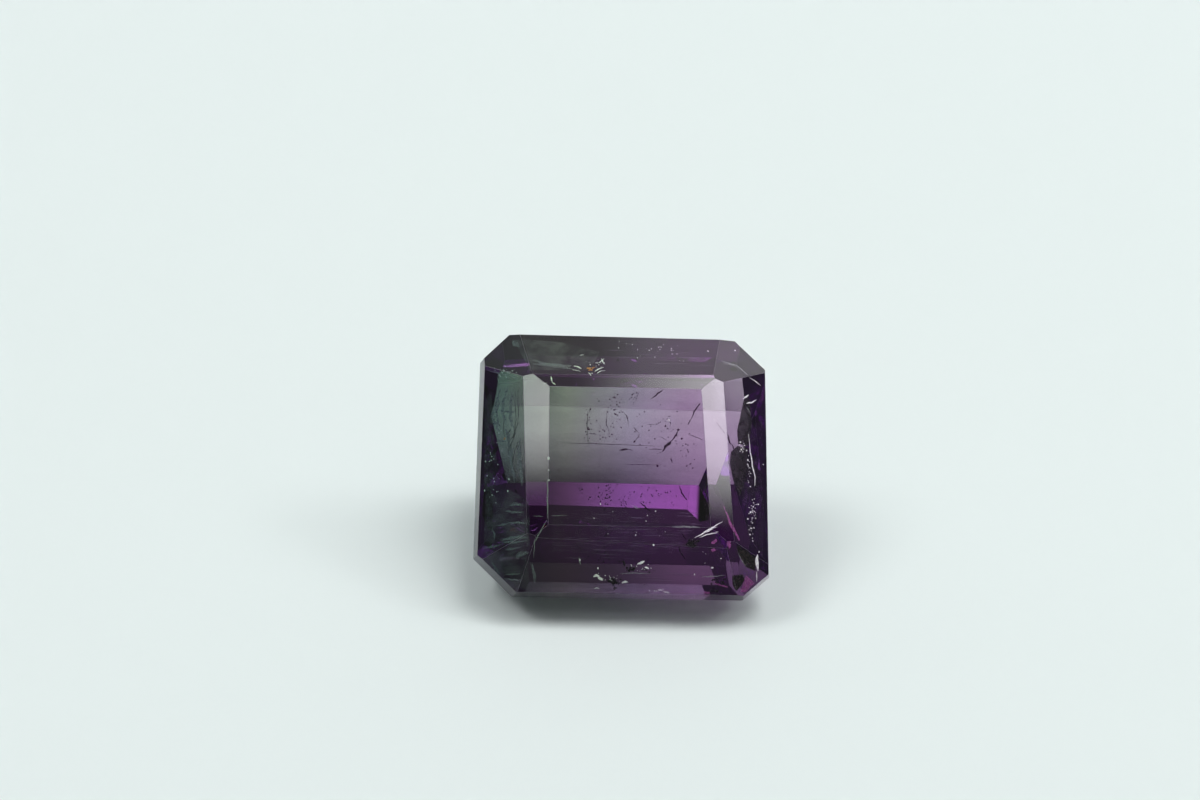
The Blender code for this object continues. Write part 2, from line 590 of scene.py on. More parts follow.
# %% The clear stone
stone_finish, tree, shader = new_material(
    "tourmaline_clear", Roughness=0.0, IOR=TOURMALINE_INDEX, Transmission_Weight=1.0
)
place = object_place(tree)
axes = parts_of(tree, place)
slope = measure_along(tree, place, table_up)
out = measure_along(tree, place, table_out)
# The two painted shades, at the lower front and at the keel
ends = calculate(
    tree, "MULTIPLY", front_painted_shade(tree, slope), keel_painted_shade(tree, axes["X"], axes["Z"])
)
middle = calculate(
    tree, "MULTIPLY", layer_tone(tree, axes["X"], out), cloud_tone(tree, axes["X"], slope, out)
)
toned = tree.nodes.new("ShaderNodeVectorMath")
toned.operation = "SCALE"
give(tree, toned.inputs["Vector"], colour_zones(tree, axes["X"]))
give(tree, toned.inputs["Scale"], calculate(tree, "MULTIPLY", ends, middle))
give(tree, shader.inputs["Base Color"], toned.outputs["Vector"])
absorb_in(tree)

# %% [markdown]
# The worn edges let less light through and scatter some of it, so they show as fine grey lines.

# %% The worn edges
WORN_DARK = (0.16, 0.15, 0.18, 1.0)
WORN_PALE = (0.50, 0.52, 0.52, 1.0)

worn_finish, tree, shader = new_material(
    "tourmaline_worn_edge", Roughness=0.35, IOR=TOURMALINE_INDEX, Transmission_Weight=0.55
)
rubbed = fine_noise(tree, object_place(tree), Scale=3000.0, Detail=3.0)
give(tree, shader.inputs["Base Color"], blend(tree, rubbed, WORN_DARK, WORN_PALE))
absorb_in(tree)
stone.data.materials[FACET_SLOT] = stone_finish
stone.data.materials[EDGE_SLOT] = worn_finish
for holder in slot_holders:
    bpy.data.materials.remove(holder)
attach(stone, "root")
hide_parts("tourmaline")

# %% [markdown]
# ## What the crystal holds
# Tourmaline grows in hot fluid and takes some of it in. This stone holds dark tubes and specks in
# its middle, healed cracks that shine like white thread, thin veils at the blue end, fine growth
# lines along its length and one rusty grain. Drawing them on the facets would be simple, but they
# would slide off as soon as the camera moved. So they are small meshes just under the facets. Each
# is set by the pixel that shows it: the sight line is followed to the facet, bent the way
# tourmaline bends it, and followed on for a given depth.

# %% Places inside the stone
bpy.context.view_layer.update()


def inside(pixel, depth):
    """The point that a pixel of the photograph shows, this many millimetres under the facet."""
    sight = camera_turn @ pixel_ray(pixel)
    found, place, out, _ = stone.ray_cast(camera_place, sight)
    if not found:
        raise ValueError(f"pixel {pixel} is beside the stone")
    bend = 1.0 / TOURMALINE_INDEX
    slant = -sight.dot(out)
    bent = sight * bend + out * (bend * slant - math.sqrt(1.0 - bend ** 2 * (1.0 - slant ** 2)))
    return place + bent.normalized() * (depth * MM)


print("a point 1 mm under the table:", [round(value / MM, 2) for value in inside(TABLE_SEEN_AT, 1.0)])

# %% [markdown]
# ### The three shapes that everything is made of
# A tube or a thread is a small ring, drawn out ring by ring along a path: it swells in the middle
# and closes almost to a point at both ends. A grain and a flake are modelled once and copied, each
# copy with its own size, turn and mesh. A crack is a ragged plate with an outline of its own.

# %% Helpers for the inclusions
THREAD_STEPS = 3
THREAD_END = 0.06
PLATE_RAGGEDNESS = 0.02 * MM


def wandering_path(pixels, depth, steps, wander, chance):
    """Points inside the stone along a line of pixels, each a little off the line."""
    corners = [inside(pixel, depth) for pixel in pixels]
    path = []
    for start, end in zip(corners, corners[1:]):
        for step in range(steps):
            aside = Vector([chance.uniform(-wander, wander) * MM for axis in range(3)])
            path.append(start.lerp(end, step / steps) + aside)
    path.append(corners[-1])
    return path


def draw_thread(path, width):
    """A five-sided thread along a path, thickest in the middle. The width is in millimetres."""
    start_fresh()
    last = len(path) - 1
    rise = 1.0 - 2 * THREAD_END
    heading = (path[1] - path[0]).to_track_quat("Z", "Y").to_euler()
    swell = [math.sin(math.pi * (THREAD_END + rise * step / last)) for step in range(len(path))]
    radius = width / 2 * MM * swell[0]
    bpy.ops.mesh.primitive_circle_add(vertices=5, radius=radius, location=path[0], rotation=heading)
    thread = bpy.context.object
    bpy.ops.object.transform_apply(location=True, rotation=True, scale=True)
    edit(thread)
    for step in range(1, len(path)):
        reach = path[step] - path[step - 1]
        bpy.ops.mesh.extrude_edges_move(TRANSFORM_OT_translate={"value": reach})
        growth = swell[step] / swell[step - 1]
        bpy.ops.transform.resize(value=(growth, growth, growth), center_override=path[step])
    bpy.ops.mesh.select_all(action="SELECT")
    bpy.ops.mesh.fill_holes(sides=0)
    bpy.ops.mesh.normals_make_consistent(inside=False)
    bpy.ops.object.mode_set(mode="OBJECT")
    return thread


def draw_threads(traced, wander, chance):
    """One thread for each row: its depth and width in millimetres, then the pixels along it."""
    threads = []
    for (depth, width), pixels in traced.values():
        path = wandering_path(pixels, depth, THREAD_STEPS, wander, chance)
        threads.append(draw_thread(path, width))
    return threads


def draw_plate(outline, depth, thickness, seed):
    """A thin ragged crack whose outline is a few pixels."""
    start_fresh()
    bpy.ops.mesh.primitive_circle_add(vertices=len(outline), fill_type="NGON")
    plate = bpy.context.object
    for vertex, pixel in zip(plate.data.vertices, outline):
        vertex.co = inside(pixel, depth)
    edit(plate)
    bpy.ops.mesh.select_mode(type="EDGE")
    bpy.ops.mesh.subdivide(number_cuts=2)
    bpy.ops.transform.vertex_random(offset=PLATE_RAGGEDNESS, seed=seed)
    bpy.ops.mesh.select_mode(type="FACE")
    bpy.ops.mesh.select_all(action="SELECT")
    inwards = table_out * (-thickness * MM)
    bpy.ops.mesh.extrude_region_move(TRANSFORM_OT_translate={"value": inwards})
    bpy.ops.mesh.select_all(action="SELECT")
    bpy.ops.mesh.normals_make_consistent(inside=False)
    bpy.ops.object.mode_set(mode="OBJECT")
    return plate


def draw_plates(outlines, depth, thickness, first_seed):
    """One plate for each outline, each with a seed of its own."""
    plates = []
    for number, outline in enumerate(outlines.values()):
        plates.append(draw_plate(outline, depth, thickness, first_seed + number))
    return plates


def copy_at(master, place, size, turn):
    """A copy of a master with its own mesh, sized in millimetres, turned and put in its place."""
    copy = bpy.data.objects.new(master.name + "_copy", master.data.copy())
    bpy.context.scene.collection.objects.link(copy)
    shape = Matrix.Diagonal((*[side * MM for side in size], 1.0))
    copy.data.transform(Matrix.Translation(place) @ turn.to_matrix().to_4x4() @ shape)
    return copy


def join_pieces(parts, name, material):
    """Joins many small shapes of one finish into one piece that rides with the stone."""
    start_fresh()
    for part in parts:
        part.select_set(True)
    bpy.context.view_layer.objects.active = parts[0]
    bpy.ops.object.join()
    piece = finish_piece(parts[0], name)
    piece.data.materials.clear()
    piece.data.materials.append(material)
    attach(piece, "root")
    return piece


# %% The grain and the flake
# Both are one unit wide, and these are shares of that width
GRAIN_RAGGEDNESS = 0.12
FLAKE_RIM = 0.18
FLAKE_DOME = 0.12
FLAKE_THICKNESS = 0.2
FLAKE_RAGGEDNESS = 0.07

start_fresh()
bpy.ops.mesh.primitive_ico_sphere_add(subdivisions=1, radius=0.5)
grain_master = bpy.context.object
grain_master.name = "grain"
edit(grain_master)
bpy.ops.transform.vertex_random(offset=GRAIN_RAGGEDNESS, seed=3)
bpy.ops.object.mode_set(mode="OBJECT")

start_fresh()
bpy.ops.mesh.primitive_circle_add(vertices=8, radius=0.5, fill_type="NGON")
flake_master = bpy.context.object
flake_master.name = "flake"
edit(flake_master)
bpy.ops.mesh.inset(thickness=FLAKE_RIM)
bpy.ops.transform.translate(value=(0.0, 0.0, FLAKE_DOME))
bpy.ops.mesh.select_all(action="SELECT")
bpy.ops.mesh.extrude_region_move(TRANSFORM_OT_translate={"value": (0.0, 0.0, -FLAKE_THICKNESS)})
bpy.ops.mesh.select_all(action="SELECT")
bpy.ops.transform.vertex_random(offset=FLAKE_RAGGEDNESS, seed=5)
bpy.ops.mesh.normals_make_consistent(inside=False)
bpy.ops.object.mode_set(mode="OBJECT")
print("grain:", len(grain_master.data.polygons), "faces, flake:", len(flake_master.data.polygons), "faces")

# %% [markdown]
# ### Finishes of the inclusions
# None of them is one even colour. A group blends two tones by a fine noise and gives a cover that
# breaks up at the edges of a veil, so the same few nodes serve dark tubes and pale veils. A real
# pale flaw is lit through the facets above it. The renderer sends no light straight through clear
# solid stone, so every finish but the dark ones also glows a little, a painted light by about what
# it would scatter back.

# %% The broken tone
BROKEN_TONE_SOCKETS = [
    ("Tone", "INPUT", "NodeSocketColor"),
    ("Second Tone", "INPUT", "NodeSocketColor"),
    ("Grains Per Metre", "INPUT", "NodeSocketFloat"),
    ("Least Cover", "INPUT", "NodeSocketFloat"),
    ("Most Cover", "INPUT", "NodeSocketFloat"),
    ("Colour", "OUTPUT", "NodeSocketColor"),
    ("Cover", "OUTPUT", "NodeSocketFloat"),
]

broken_tone = bpy.data.node_groups.new("broken_tone", "ShaderNodeTree")
for socket, side, kind in BROKEN_TONE_SOCKETS:
    broken_tone.interface.new_socket(socket, in_out=side, socket_type=kind)
given = broken_tone.nodes.new("NodeGroupInput").outputs
result = broken_tone.nodes.new("NodeGroupOutput").inputs
speckle = fine_noise(
    broken_tone, object_place(broken_tone), Scale=given["Grains Per Metre"], Detail=4.0, Roughness=0.6
)
patches = smooth_range(broken_tone, speckle, 0.38, 0.62)
tones = blend(broken_tone, patches, given["Tone"], given["Second Tone"])
cover = even_range(broken_tone, patches, 0.0, 1.0, given["Least Cover"], given["Most Cover"])
give(broken_tone, result["Colour"], tones)
give(broken_tone, result["Cover"], cover)

FULL_COVER = (1.0, 1.0)


def inclusion_finish(name, tone, second, cover=FULL_COVER, grains=9000.0, roughness=0.5, glow=0.0):
    """A finish for one kind of inclusion: its two tones, and how much of it covers."""
    material, tree, shader = new_material(name, Roughness=roughness, Emission_Strength=glow)
    mix = tree.nodes.new("ShaderNodeGroup")
    mix.node_tree = broken_tone
    mix.inputs["Tone"].default_value = (*tone, 1.0)
    mix.inputs["Second Tone"].default_value = (*second, 1.0)
    mix.inputs["Grains Per Metre"].default_value = grains
    mix.inputs["Least Cover"].default_value = cover[0]
    mix.inputs["Most Cover"].default_value = cover[1]
    give(tree, shader.inputs["Base Color"], mix.outputs["Colour"])
    # Painted light: the glow takes the inclusion's own two tones
    give(tree, shader.inputs["Emission Color"], mix.outputs["Colour"])
    if cover != FULL_COVER:
        give(tree, shader.inputs["Alpha"], mix.outputs["Cover"])
    return material


# %% The finishes
dark_finish = inclusion_finish(
    "dark_tube", (0.012, 0.008, 0.016), (0.05, 0.03, 0.045), roughness=0.4
)
haze_finish = inclusion_finish(
    "dark_haze", (0.03, 0.02, 0.035), (0.10, 0.07, 0.09), cover=(0.25, 0.75), roughness=0.6
)
# Painted glint: white and glowing, for the softbox that a crack of air mirrors
painted_glint_finish = inclusion_finish(
    "white_crack_painted_glint", (0.90, 0.88, 0.92), (0.62, 0.58, 0.68), roughness=0.3, glow=0.80
)
# Real pale threads, and also a painted highlight along the left step's worn edge
pale_thread_and_edge_highlight_finish = inclusion_finish(
    "pale_thread_and_edge_highlight", (0.55, 0.56, 0.60), (0.34, 0.34, 0.40), cover=(0.25, 0.8), glow=0.35
)
veil_finish = inclusion_finish(
    "blue_veil", (0.40, 0.40, 0.48), (0.19, 0.19, 0.25), cover=(0.1, 0.60), roughness=0.6, glow=0.42
)
cloud_finish = inclusion_finish(
    "cloud", (0.13, 0.14, 0.18), (0.24, 0.22, 0.28),
    cover=(0.04, 0.26), grains=1500.0, roughness=0.7, glow=0.30,
)
violet_cloud_finish = inclusion_finish(
    "violet_cloud", (0.14, 0.08, 0.17), (0.07, 0.05, 0.08),
    cover=(0.0, 0.13), grains=1500.0, roughness=0.7, glow=0.18,
)
growth_finish = inclusion_finish(
    "growth_line", (0.34, 0.24, 0.42), (0.18, 0.12, 0.24), cover=(0.1, 0.6), roughness=0.6, glow=0.22
)
rust_finish = inclusion_finish(
    "rust", (0.62, 0.25, 0.06), (0.30, 0.10, 0.03), grains=16000.0, glow=0.55
)
brown_finish = inclusion_finish(
    "brown_crack", (0.035, 0.028, 0.020), (0.060, 0.040, 0.045), cover=(0.75, 0.95), roughness=0.3
)
shade_finish = inclusion_finish(
    "dark_sheet", (0.030, 0.020, 0.040), (0.060, 0.036, 0.070), cover=(0.70, 0.90), grains=2500.0
)
# Painted reflection: pink plates that glow, for cracks that turn back the light
violet_painted_flash_finish = inclusion_finish(
    "violet_painted_flash", (0.66, 0.17, 0.55), (0.32, 0.08, 0.32), cover=(0.20, 0.75), roughness=0.3, glow=0.36
)

# %% [markdown]
# ### Dark tubes and specks
# The tubes run across the middle of the window in a broken line, with a fat bead where two of them
# meet. Around them lie fine dark specks in three loose columns. The tubes are traced one by one,
# and the specks are scattered with a fixed seed, so the stone is the same each time.

# %% Dark tubes
# name: (depth, width) in millimetres, then the pixels along it
DARK_TUBES = {
    "upper_tube": ((0.5, 0.070), [(651.0, 399.0), (656.4, 395.0), (659.5, 392.3), (663.2, 389.5)]),
    "right_chain": ((0.5, 0.070), [(699.5, 404.0), (696.5, 408.0), (694.0, 411.8), (691.6, 419.0)]),
    "right_chain_foot": ((0.5, 0.045), [(691.4, 418.6), (689.5, 421.5), (688.6, 424.0)]),
    "streak_top": ((0.6, 0.065), [(678.6, 429.0), (676.5, 434.0), (673.0, 439.5), (669.5, 442.5)]),
    "streak_bead": ((0.6, 0.200), [(670.8, 441.0), (667.3, 445.0), (664.6, 448.4)]),
    "streak_foot": ((0.6, 0.075), [(666.0, 447.0), (664.2, 449.0), (662.4, 452.0)]),
    "low_dash": ((0.45, 0.085), [(619.4, 450.2), (624.0, 449.4), (628.0, 449.2)]),
    "low_dash_tail": ((0.45, 0.045), [(626.5, 449.2), (629.5, 449.4), (632.5, 451.0)]),
    "middle_arc": ((0.5, 0.040), [(633.4, 427.0), (636.2, 430.6), (638.6, 433.0)]),
    "arc_foot": ((0.5, 0.035), [(639.2, 434.0), (638.0, 437.5), (635.4, 440.0)]),
    "small_tick": ((0.4, 0.050), [(670.8, 457.5), (671.4, 460.0), (672.2, 463.0)]),
    "step_mark": ((0.3, 0.080), [(727.8, 434.6), (729.0, 439.0), (730.2, 445.5)]),
    "step_mark_low": ((0.3, 0.060), [(731.0, 443.0), (733.4, 447.0), (735.0, 452.0)]),
    "window_end": ((0.5, 0.070), [(706.9, 478.0), (705.6, 486.0), (705.8, 493.0), (707.6, 499.0)]),
    "window_end_low": ((0.5, 0.055), [(707.6, 500.0), (708.8, 508.0), (710.2, 517.0)]),
    "left_fleck": ((0.4, 0.060), [(511.0, 429.0), (509.6, 431.0), (508.2, 432.4)]),
}
SCATTER_SEED = 11
TUBE_WANDER = 0.014

chance = random.Random(SCATTER_SEED)
join_pieces(draw_threads(DARK_TUBES, TUBE_WANDER, chance), "dark_tubes", dark_finish)

# %% Dark specks
# Each is (x, y, width in pixels)
DARK_BEADS = [
    (678.3, 429.8, 2.8), (681.8, 438.6, 2.8), (657.5, 465.9, 3.2), (634.5, 441.4, 2.6), (688.6, 423.8, 1.9),
    (632.3, 394.5, 2.2), (636.8, 392.8, 1.6), (636.4, 398.2, 1.6), (599.1, 400.9, 2.2), (597.6, 398.6, 1.6),
    (590.5, 409.1, 2.4), (589.1, 429.1, 2.4), (586.8, 434.5, 1.6), (596.8, 420.5, 1.5), (617.7, 394.5, 1.8),
    (621.4, 399.1, 1.6), (616.8, 404.5, 2.0), (615.9, 414.1, 2.6), (617.7, 415.5, 1.8), (619.5, 412.3, 1.6),
    (607.7, 411.8, 1.6), (626.8, 416.4, 1.6), (604.5, 430.9, 1.6), (609.5, 436.4, 1.8), (616.8, 439.1, 1.4),
    (699.4, 404.4, 2.0), (610.0, 491.3, 2.0), (652.5, 496.2, 1.6), (694.6, 459.4, 1.6), (690.0, 464.5, 1.3),
    (645.0, 584.4, 2.0), (499.4, 433.6, 2.0), (697.0, 391.0, 1.4), (686.2, 397.6, 1.2), (665.0, 466.0, 1.2),
]
# Each is the middle, the spread in pixels, the depth span in mm and how many
SPECK_CLOUDS = [
    ((588.0, 425.0), (5.0, 22.0), (0.3, 1.2), 26),
    ((616.0, 410.0), (9.0, 20.0), (0.3, 1.4), 34),
    ((634.0, 400.0), (6.0, 9.0), (0.3, 0.9), 12),
    ((605.0, 436.0), (14.0, 14.0), (0.3, 1.4), 16),
    ((660.0, 430.0), (38.0, 34.0), (0.3, 2.0), 46),
    ((690.0, 450.0), (14.0, 22.0), (0.3, 1.4), 16),
    ((640.0, 496.0), (55.0, 8.0), (0.2, 0.8), 20),
    ((744.0, 445.0), (5.0, 12.0), (0.2, 0.6), 16),
]
# Each is the middle, the spread in pixels, the span of grain widths in pixels and how many
DARK_CLUMPS = [
    ((692.0, 542.6), (8.0, 4.0), (1.4, 4.2), 34),
    ((613.6, 582.0), (7.5, 3.4), (1.2, 3.6), 34),
    ((614.6, 588.0), (1.6, 3.0), (1.0, 2.4), 8),
    ((624.0, 563.4), (2.2, 5.0), (1.0, 2.6), 14),
    ((631.0, 569.4), (5.0, 3.0), (1.2, 3.0), 20),
    ((646.0, 571.0), (10.0, 2.0), (0.8, 1.6), 14),
    ((719.0, 582.0), (10.0, 4.0), (1.0, 2.8), 26),
    ((716.0, 591.0), (12.0, 2.4), (1.0, 2.4), 16),
]


def near_pixel(middle, spread, chance):
    """A pixel close to the middle, and never further from it than the spread."""
    aside = [chance.triangular(-reach, reach, 0.0) for reach in spread]
    return (middle[0] + aside[0], middle[1] + aside[1])


SPECK_LENGTHS = (0.7, 1.1)
SPECK_HEIGHTS = (0.6, 1.0)


def pixel_speck(pixel, width, depth, chance):
    """A grain at a pixel, with a random turn and a slightly uneven shape. Width is in pixels."""
    side = width / PIXELS_PER_MM
    turn = Quaternion([chance.gauss(0, 1) for axis in range(4)])
    size = (side, side * chance.uniform(*SPECK_LENGTHS), side * chance.uniform(*SPECK_HEIGHTS))
    return copy_at(grain_master, inside(pixel, depth), size, turn.normalized())


BEAD_DEPTH = 0.45
SPECK_WIDTHS = (0.9, 2.0)
CLUMP_DEPTHS = (0.2, 0.5)

specks = [pixel_speck((x, y), width, BEAD_DEPTH, chance) for x, y, width in DARK_BEADS]
for middle, spread, depths, count in SPECK_CLOUDS:
    for _ in range(count):
        pixel = near_pixel(middle, spread, chance)
        width = chance.uniform(*SPECK_WIDTHS)
        specks.append(pixel_speck(pixel, width, chance.uniform(*depths), chance))
for middle, spread, widths, count in DARK_CLUMPS:
    for _ in range(count):
        pixel = near_pixel(middle, spread, chance)
        width = chance.uniform(*widths)
        specks.append(pixel_speck(pixel, width, chance.uniform(*CLUMP_DEPTHS), chance))
join_pieces(specks, "dark_specks", dark_finish)

# %% [markdown]
# ### Hair-fine lines
# Between the tubes run reddish and violet hairs, thin enough to look washed out.

# %% Faint hairs
FAINT_HAIRS = {
    "red_hair": ((0.5, 0.035), [(688.0, 434.0), (695.0, 436.5), (703.4, 440.4)]),
    "short_hair": ((0.5, 0.035), [(659.0, 436.0), (662.5, 437.6), (667.0, 440.6)]),
    "low_hair": ((0.5, 0.035), [(649.0, 449.6), (656.0, 448.8), (663.0, 449.6)]),
    "level_hair": ((0.4, 0.025), [(647.0, 424.4), (651.0, 424.6), (655.0, 424.4)]),
    "long_hair": ((0.6, 0.030), [(560.0, 443.0), (590.0, 443.6), (620.0, 444.6), (655.0, 446.0)]),
    "lower_hair": ((0.7, 0.025), [(622.0, 464.0), (640.0, 464.6), (662.0, 464.4)]),
    "left_hair_a": ((0.5, 0.035), [(519.0, 385.0), (518.0, 400.0), (518.6, 415.0), (517.0, 428.0)]),
    "left_hair_b": ((0.5, 0.030), [(515.6, 386.0), (515.0, 402.0), (516.0, 420.0), (513.0, 438.0)]),
    "left_hair_c": ((0.4, 0.050), [(520.0, 420.0), (516.0, 428.0), (513.6, 436.0), (508.0, 444.0)]),
    "left_hair_d": ((0.4, 0.040), [(517.0, 430.0), (513.0, 440.0), (509.0, 449.0), (507.6, 456.0)]),
    "left_hair_e": ((0.4, 0.035), [(519.0, 440.0), (515.0, 450.0), (512.6, 460.0), (511.0, 472.0)]),
    "left_hair_f": ((0.4, 0.030), [(504.0, 418.0), (503.6, 428.0), (504.6, 440.0)]),
    "column_hair_a": ((0.6, 0.028), [(588.0, 409.0), (587.0, 425.0), (588.4, 447.0)]),
    "column_hair_b": ((0.6, 0.028), [(607.0, 411.0), (606.0, 424.0), (611.0, 436.0)]),
    "column_hair_c": ((0.6, 0.028), [(623.0, 411.0), (627.0, 416.0), (628.6, 426.0)]),
    "pale_step_hair": ((0.2, 0.030), [(716.4, 422.0), (720.0, 427.0), (723.3, 431.7), (727.5, 436.0)]),
}
HAIR_WANDER = 0.012

join_pieces(draw_threads(FAINT_HAIRS, HAIR_WANDER, chance), "faint_hairs", haze_finish)

# %% [markdown]
# ### White cracks and sparkles, a painted glint
# A healed crack holds a film of air that mirrors the softbox, so it shows as a white thread or a
# bright sliver. A long one runs down the right end, with a trail of tiny flakes beside it. Here the
# mirrored light is painted: the cracks and flakes are white and glow.

# %% White cracks
WHITE_CRACKS = {
    "long_crack": (
        (0.30, 0.055),
        [(748.6, 434.0), (750.4, 452.0), (752.6, 466.7), (755.2, 477.0), (754.8, 486.0)],
    ),
    "bright_sliver": ((0.25, 0.150), [(757.4, 554.6), (756.9, 562.0), (758.0, 571.0)]),
    "sliver_tail": ((0.25, 0.040), [(757.0, 571.0), (756.6, 576.0), (756.7, 582.0)]),
    "slant_crack": (
        (0.35, 0.065),
        [(694.8, 537.4), (701.0, 534.6), (707.5, 530.4), (714.0, 526.4), (722.6, 521.6)],
    ),
    "slant_crack_low": ((0.35, 0.045), [(699.0, 537.4), (707.0, 534.6), (713.0, 533.4), (718.6, 531.6)]),
    "slant_crack_mid": ((0.35, 0.035), [(705.0, 533.0), (711.0, 529.6), (717.0, 527.0)]),
    "corner_sliver": ((0.20, 0.070), [(749.6, 377.6), (755.0, 381.0), (761.0, 385.6)]),
    "right_sliver_a": ((0.20, 0.080), [(743.4, 398.6), (746.0, 396.8), (748.6, 394.8)]),
    "right_sliver_b": ((0.20, 0.070), [(746.4, 403.4), (751.0, 402.6), (756.4, 399.8)]),
    "top_sliver_a": ((0.30, 0.110), [(573.6, 365.8), (577.4, 366.6), (581.6, 368.8)]),
    "top_sliver_b": ((0.30, 0.050), [(572.6, 369.6), (576.4, 370.4), (580.6, 371.2)]),
    "rust_tail": ((0.30, 0.060), [(588.4, 372.4), (589.8, 373.6), (591.2, 375.6)]),
    "wisp_a": ((0.30, 0.060), [(594.6, 371.4), (598.4, 369.0), (603.6, 367.4)]),
    "wisp_b": ((0.30, 0.050), [(596.6, 373.4), (600.4, 371.0), (605.6, 370.6)]),
    "wisp_c": ((0.30, 0.045), [(598.6, 363.0), (601.4, 361.0), (604.0, 358.6)]),
    "wisp_d": ((0.30, 0.045), [(601.2, 358.4), (602.8, 361.4), (604.4, 364.4)]),
    "wisp_e": ((0.30, 0.035), [(579.4, 355.6), (581.6, 354.8), (583.8, 354.9)]),
    "star_up": ((0.25, 0.060), [(550.8, 376.4), (551.6, 379.4), (552.2, 382.4)]),
    "star_right": ((0.25, 0.060), [(551.8, 382.0), (553.6, 383.4), (555.4, 384.8)]),
    "star_left": ((0.25, 0.035), [(543.6, 384.0), (545.6, 383.4), (547.4, 383.4)]),
    "low_flash_a": ((0.25, 0.110), [(637.4, 564.4), (641.0, 562.8), (644.6, 561.0)]),
    "low_flash_b": ((0.25, 0.100), [(644.6, 567.0), (646.6, 567.6), (649.0, 569.0)]),
    "low_flash_c": ((0.25, 0.120), [(593.6, 576.8), (596.4, 575.2), (599.4, 576.0)]),
    "low_flash_d": ((0.25, 0.150), [(598.0, 577.0), (600.0, 578.4), (602.6, 580.4)]),
    "low_flash_e": ((0.25, 0.100), [(622.2, 582.4), (625.0, 581.6), (628.0, 582.0)]),
    "low_flash_f": ((0.25, 0.040), [(593.8, 588.6), (596.6, 587.8), (599.6, 588.8)]),
    "low_edge_flash": ((0.20, 0.060), [(663.0, 591.4), (666.0, 592.0), (669.6, 592.8)]),
}
CRACK_WANDER = 0.010

join_pieces(draw_threads(WHITE_CRACKS, CRACK_WANDER, chance), "white_cracks", painted_glint_finish)

# %% Sparkling flakes
# Each is (x, y, width in pixels)
SPARKS = [
    (708.0, 351.0, 1.6), (735.0, 350.4, 1.6), (758.9, 551.8, 2.0), (598.0, 568.2, 2.2), (653.7, 545.0, 2.0),
    (740.6, 442.2, 1.8), (741.2, 449.4, 2.0), (746.7, 450.6, 1.6), (747.8, 460.0, 1.6), (747.6, 464.4, 1.8),
    (750.6, 473.3, 1.5), (750.4, 486.7, 1.4), (753.3, 506.7, 1.9), (758.3, 504.4, 1.6), (747.8, 518.9, 2.0),
    (750.6, 512.2, 1.8), (753.9, 527.8, 1.8), (750.0, 534.4, 1.8), (752.8, 541.0, 1.3), (549.0, 458.2, 3.0),
    (549.0, 480.0, 1.8), (485.5, 461.5, 1.4), (509.0, 479.0, 1.8), (507.8, 491.0, 1.6), (499.0, 433.0, 1.6),
    (668.6, 420.0, 2.2), (712.2, 567.8, 2.6), (694.6, 574.4, 2.0), (580.0, 560.0, 1.8), (763.4, 464.6, 1.2),
    (484.6, 490.6, 2.0), (600.6, 504.0, 1.2), (655.6, 511.2, 1.3), (548.4, 470.0, 1.2),
]
# Each is the middle, the spread in pixels and how many
SPARK_CLOUDS = [
    ((742.0, 446.0), (4.0, 8.0), 22),
    ((748.5, 468.0), (2.0, 18.0), 18),
    ((753.0, 512.0), (5.0, 14.0), 34),
    ((750.5, 528.0), (3.5, 12.0), 18),
    ((596.0, 366.0), (14.0, 8.0), 22),
    ((660.0, 352.0), (52.0, 12.0), 24),
    ((505.0, 372.0), (14.0, 7.0), 22),
    ((658.0, 590.4), (14.0, 1.6), 16),
    ((612.0, 578.0), (20.0, 7.0), 18),
    ((641.0, 568.0), (12.0, 6.0), 14),
    ((640.0, 530.0), (56.0, 20.0), 9),
    ((495.0, 470.0), (9.0, 60.0), 26),
    ((715.0, 560.0), (14.0, 16.0), 5),
]
FLAKE_LEAN = 0.6
FLAKE_LENGTHS = (0.5, 1.0)
SPARK_DEPTH = 0.2
FLAKE_WIDTHS = (0.4, 1.2)
FLAKE_DEPTHS = (0.15, 0.5)


def pixel_flake(pixel, width, depth, chance):
    """A flake at a pixel, facing roughly out of the table. Width is in pixels."""
    side = width / PIXELS_PER_MM
    tilt = Vector([chance.uniform(-FLAKE_LEAN, FLAKE_LEAN) for axis in range(3)])
    facing = (table_out + tilt).normalized().to_track_quat("Z", "Y")
    spin = Quaternion((0.0, 0.0, 1.0), chance.uniform(0.0, math.tau))
    place = inside(pixel, depth)
    size = (side, side * chance.uniform(*FLAKE_LENGTHS), side)
    return copy_at(flake_master, place, size, facing @ spin)


flakes = [pixel_flake((x, y), width, SPARK_DEPTH, chance) for x, y, width in SPARKS]
for middle, spread, count in SPARK_CLOUDS:
    for _ in range(count):
        pixel = near_pixel(middle, spread, chance)
        width = chance.uniform(*FLAKE_WIDTHS)
        flakes.append(pixel_flake(pixel, width, chance.uniform(*FLAKE_DEPTHS), chance))
join_pieces(flakes, "sparkling_flakes", painted_glint_finish)
